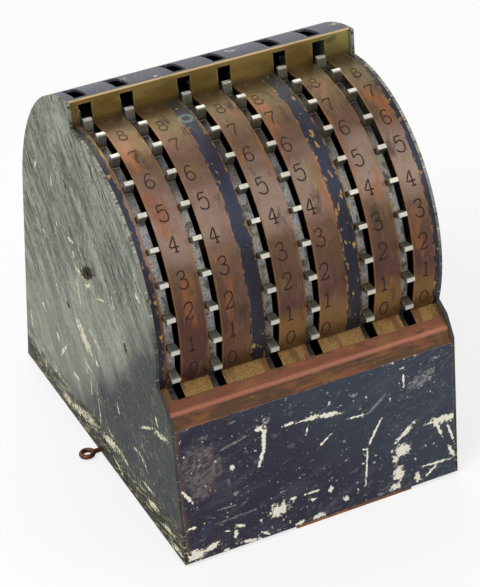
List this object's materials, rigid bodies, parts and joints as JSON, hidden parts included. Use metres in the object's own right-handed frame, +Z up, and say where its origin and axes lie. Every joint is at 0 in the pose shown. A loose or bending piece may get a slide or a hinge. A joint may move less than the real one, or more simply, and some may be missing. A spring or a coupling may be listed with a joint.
{
  "type": "adding machine",
  "caption": "Finger-operated column adding machine: a sheet-metal case with pegged wheels in a slotted curved face, a copper stop bar and windows in the rear cover.",
  "frame": {"origin": "centre of the flat rest face under the case", "axes": "+X to the right as seen from the front, +Y to the back, +Z up"},
  "size_m": [0.1292, 0.1756, 0.1672],
  "materials": {
    "painted_side": "old blue-grey enamel on sheet, mottled, streaked and scratched",
    "painted_front": "dark blue-purple enamel with cream chips",
    "copper": "worn copper with darker stains",
    "face_brass": "tarnished brass and copper tones with stamped digits",
    "strip_brass": "dull ochre brass",
    "painted_cover": "glossy blue-black enamel, scuffed",
    "base_copper": "orange-brown copper sheet",
    "ring_brass": "dark brown patinated wire",
    "wheel_steel": "grey cast and filed steel, bright on the peg ends",
    "shaft_steel": "turned steel",
    "inner_brass": "plain turned brass"
  },
  "bodies": {
    "case": {"left_side_panel": "painted_side", "right_side_panel": "painted_side", "front_wall": "painted_front", "copper_stop_bar": "copper", "slotted_face_plate": "face_brass", "brass_top_strip": "strip_brass", "rear_cover": "painted_cover", "base_plate": "base_copper", "pull_ring": "ring_brass", "main_shaft": "shaft_steel", "left_shaft_flange": "shaft_steel", "right_shaft_flange": "shaft_steel", "end_spacers": "inner_brass", "carry_shaft": "shaft_steel", "carry_shaft_sockets": "inner_brass", "click_shaft": "shaft_steel", "click_shaft_sockets": "inner_brass", "wheel_spacer_1": "inner_brass", "wheel_spacer_2": "inner_brass", "wheel_spacer_3": "inner_brass", "wheel_spacer_4": "inner_brass", "wheel_spacer_5": "inner_brass"},
    "wheel_1": {"finger_wheel_1": "wheel_steel"},
    "wheel_2": {"finger_wheel_2": "wheel_steel"},
    "wheel_3": {"finger_wheel_3": "wheel_steel"},
    "wheel_4": {"finger_wheel_4": "wheel_steel"},
    "wheel_5": {"finger_wheel_5": "wheel_steel"},
    "wheel_6": {"finger_wheel_6": "wheel_steel"},
    "pinion_1": {"carry_pinion_1": "inner_brass"},
    "pinion_2": {"carry_pinion_2": "inner_brass"},
    "pinion_3": {"carry_pinion_3": "inner_brass"},
    "pinion_4": {"carry_pinion_4": "inner_brass"},
    "pinion_5": {"carry_pinion_5": "inner_brass"},
    "pawl_1": {"click_pawl_1": "shaft_steel"},
    "pawl_2": {"click_pawl_2": "shaft_steel"},
    "pawl_3": {"click_pawl_3": "shaft_steel"},
    "pawl_4": {"click_pawl_4": "shaft_steel"},
    "pawl_5": {"click_pawl_5": "shaft_steel"},
    "pawl_6": {"click_pawl_6": "shaft_steel"}
  },
  "joints": [
    {"name": "wheel_1_turn", "type": "hinge", "parent": "case", "child": "wheel_1", "pos_m": [-0.0532, -0.01895, 0.09609], "axis": [1, 0, 0], "continuous": true},
    {"name": "wheel_2_turn", "type": "hinge", "parent": "case", "child": "wheel_2", "pos_m": [-0.0363, -0.01895, 0.09609], "axis": [1, 0, 0], "continuous": true},
    {"name": "wheel_3_turn", "type": "hinge", "parent": "case", "child": "wheel_3", "pos_m": [-0.0128, -0.01895, 0.09609], "axis": [1, 0, 0], "continuous": true},
    {"name": "wheel_4_turn", "type": "hinge", "parent": "case", "child": "wheel_4", "pos_m": [0.0041, -0.01895, 0.09609], "axis": [1, 0, 0], "continuous": true},
    {"name": "wheel_5_turn", "type": "hinge", "parent": "case", "child": "wheel_5", "pos_m": [0.0276, -0.01895, 0.09609], "axis": [1, 0, 0], "continuous": true},
    {"name": "wheel_6_turn", "type": "hinge", "parent": "case", "child": "wheel_6", "pos_m": [0.0445, -0.01895, 0.09609], "axis": [1, 0, 0], "continuous": true},
    {"name": "pinion_1_turn", "type": "hinge", "parent": "case", "child": "pinion_1", "pos_m": [-0.04475, 0.02064, 0.03395], "axis": [1, 0, 0], "continuous": true},
    {"name": "pinion_2_turn", "type": "hinge", "parent": "case", "child": "pinion_2", "pos_m": [-0.02455, 0.02064, 0.03395], "axis": [1, 0, 0], "continuous": true},
    {"name": "pinion_3_turn", "type": "hinge", "parent": "case", "child": "pinion_3", "pos_m": [-0.00435, 0.02064, 0.03395], "axis": [1, 0, 0], "continuous": true},
    {"name": "pinion_4_turn", "type": "hinge", "parent": "case", "child": "pinion_4", "pos_m": [0.01585, 0.02064, 0.03395], "axis": [1, 0, 0], "continuous": true},
    {"name": "pinion_5_turn", "type": "hinge", "parent": "case", "child": "pinion_5", "pos_m": [0.03605, 0.02064, 0.03395], "axis": [1, 0, 0], "continuous": true},
    {"name": "pawl_1_drop", "type": "hinge", "parent": "case", "child": "pawl_1", "pos_m": [-0.0532, 0.05019, 0.10704], "axis": [1, 0, 0], "range_deg": [0, 5]},
    {"name": "pawl_2_drop", "type": "hinge", "parent": "case", "child": "pawl_2", "pos_m": [-0.0363, 0.05019, 0.10704], "axis": [1, 0, 0], "range_deg": [0, 5]},
    {"name": "pawl_3_drop", "type": "hinge", "parent": "case", "child": "pawl_3", "pos_m": [-0.0128, 0.05019, 0.10704], "axis": [1, 0, 0], "range_deg": [0, 5]},
    {"name": "pawl_4_drop", "type": "hinge", "parent": "case", "child": "pawl_4", "pos_m": [0.0041, 0.05019, 0.10704], "axis": [1, 0, 0], "range_deg": [0, 5]},
    {"name": "pawl_5_drop", "type": "hinge", "parent": "case", "child": "pawl_5", "pos_m": [0.0276, 0.05019, 0.10704], "axis": [1, 0, 0], "range_deg": [0, 5]},
    {"name": "pawl_6_drop", "type": "hinge", "parent": "case", "child": "pawl_6", "pos_m": [0.0445, 0.05019, 0.10704], "axis": [1, 0, 0], "range_deg": [0, 5]}
  ],
  "couplings": [
    {"joint": "pinion_1_turn", "follows": "wheel_1_turn", "ratio": -5},
    {"joint": "pinion_2_turn", "follows": "wheel_2_turn", "ratio": -5},
    {"joint": "pinion_3_turn", "follows": "wheel_3_turn", "ratio": -5},
    {"joint": "pinion_4_turn", "follows": "wheel_4_turn", "ratio": -5},
    {"joint": "pinion_5_turn", "follows": "wheel_5_turn", "ratio": -5}
  ]
}
